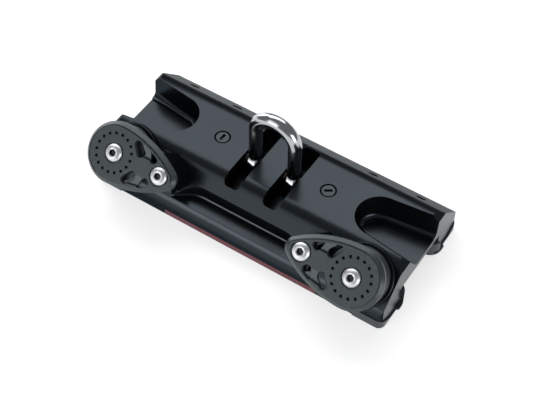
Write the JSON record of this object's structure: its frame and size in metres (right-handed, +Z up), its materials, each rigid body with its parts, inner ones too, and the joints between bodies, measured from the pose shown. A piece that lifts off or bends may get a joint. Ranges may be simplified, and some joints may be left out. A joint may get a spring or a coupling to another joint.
{
  "type": "mainsheet traveller car",
  "caption": "Milled traveller car that rolls on a track on captive balls, with a swinging shackle on its crown and a pair of cheek blocks on its near slope.",
  "frame": {"origin": "middle of the track channel's flat ceiling, at mid length", "axes": "+X along the track, +Y from the blocks' side to the plain side, +Z up out of the crown"},
  "size_m": [0.265, 0.1365, 0.0981],
  "materials": {
    "anodised_body": "dark grey hard anodised, fine satin",
    "composite": "black glass-filled moulding",
    "steel": "polished stainless",
    "plug_steel": "darkened",
    "acetal": "white acetal"
  },
  "bodies": {
    "car": {"car_body": "anodised_body", "shackle_pin": "steel", "pin_plug_left": "plug_steel", "pin_plug_right": "plug_steel", "ball_guide_near": "composite", "ball_guide_far": "composite", "end_cap_left_near": "composite", "end_cap_left_far": "composite", "end_cap_right_near": "composite", "end_cap_right_far": "composite", "block_base_left": "anodised_body", "block_base_right": "anodised_body", "block_cheek_left": "composite", "block_cheek_right": "composite", "sheave_hub_left": "composite", "sheave_hub_right": "composite", "sheave_screw_left": "steel", "sheave_screw_right": "steel", "nose_screw_left": "steel", "nose_screw_right": "steel"},
    "shackle": {"shackle": "steel"},
    "sheave_left": {"sheave_left": "composite"},
    "sheave_right": {"sheave_right": "composite"},
    "ball_ring_left": {"ball_ring_left": "acetal"},
    "ball_ring_right": {"ball_ring_right": "acetal"}
  },
  "joints": [
    {"name": "shackle_swing", "type": "hinge", "parent": "car", "child": "shackle", "pos_m": [0, 0, 0.018], "axis": [1, 0, 0], "range_deg": [-60, 70]},
    {"name": "sheave_left_spin", "type": "hinge", "parent": "car", "child": "sheave_left", "pos_m": [-0.1045, -0.04269, 0.01281], "axis": [0, -0.7071, 0.7071], "continuous": true},
    {"name": "sheave_right_spin", "type": "hinge", "parent": "car", "child": "sheave_right", "pos_m": [0.1045, -0.04269, 0.01281], "axis": [0, -0.7071, 0.7071], "continuous": true},
    {"name": "ball_ring_left_spin", "type": "hinge", "parent": "car", "child": "ball_ring_left", "pos_m": [-0.1045, -0.04269, 0.01281], "axis": [0, -0.7071, 0.7071], "continuous": true},
    {"name": "ball_ring_right_spin", "type": "hinge", "parent": "car", "child": "ball_ring_right", "pos_m": [0.1045, -0.04269, 0.01281], "axis": [0, -0.7071, 0.7071], "continuous": true}
  ],
  "couplings": [
    {"joint": "ball_ring_left_spin", "follows": "sheave_left_spin", "ratio": 0.568},
    {"joint": "ball_ring_right_spin", "follows": "sheave_right_spin", "ratio": 0.568}
  ]
}
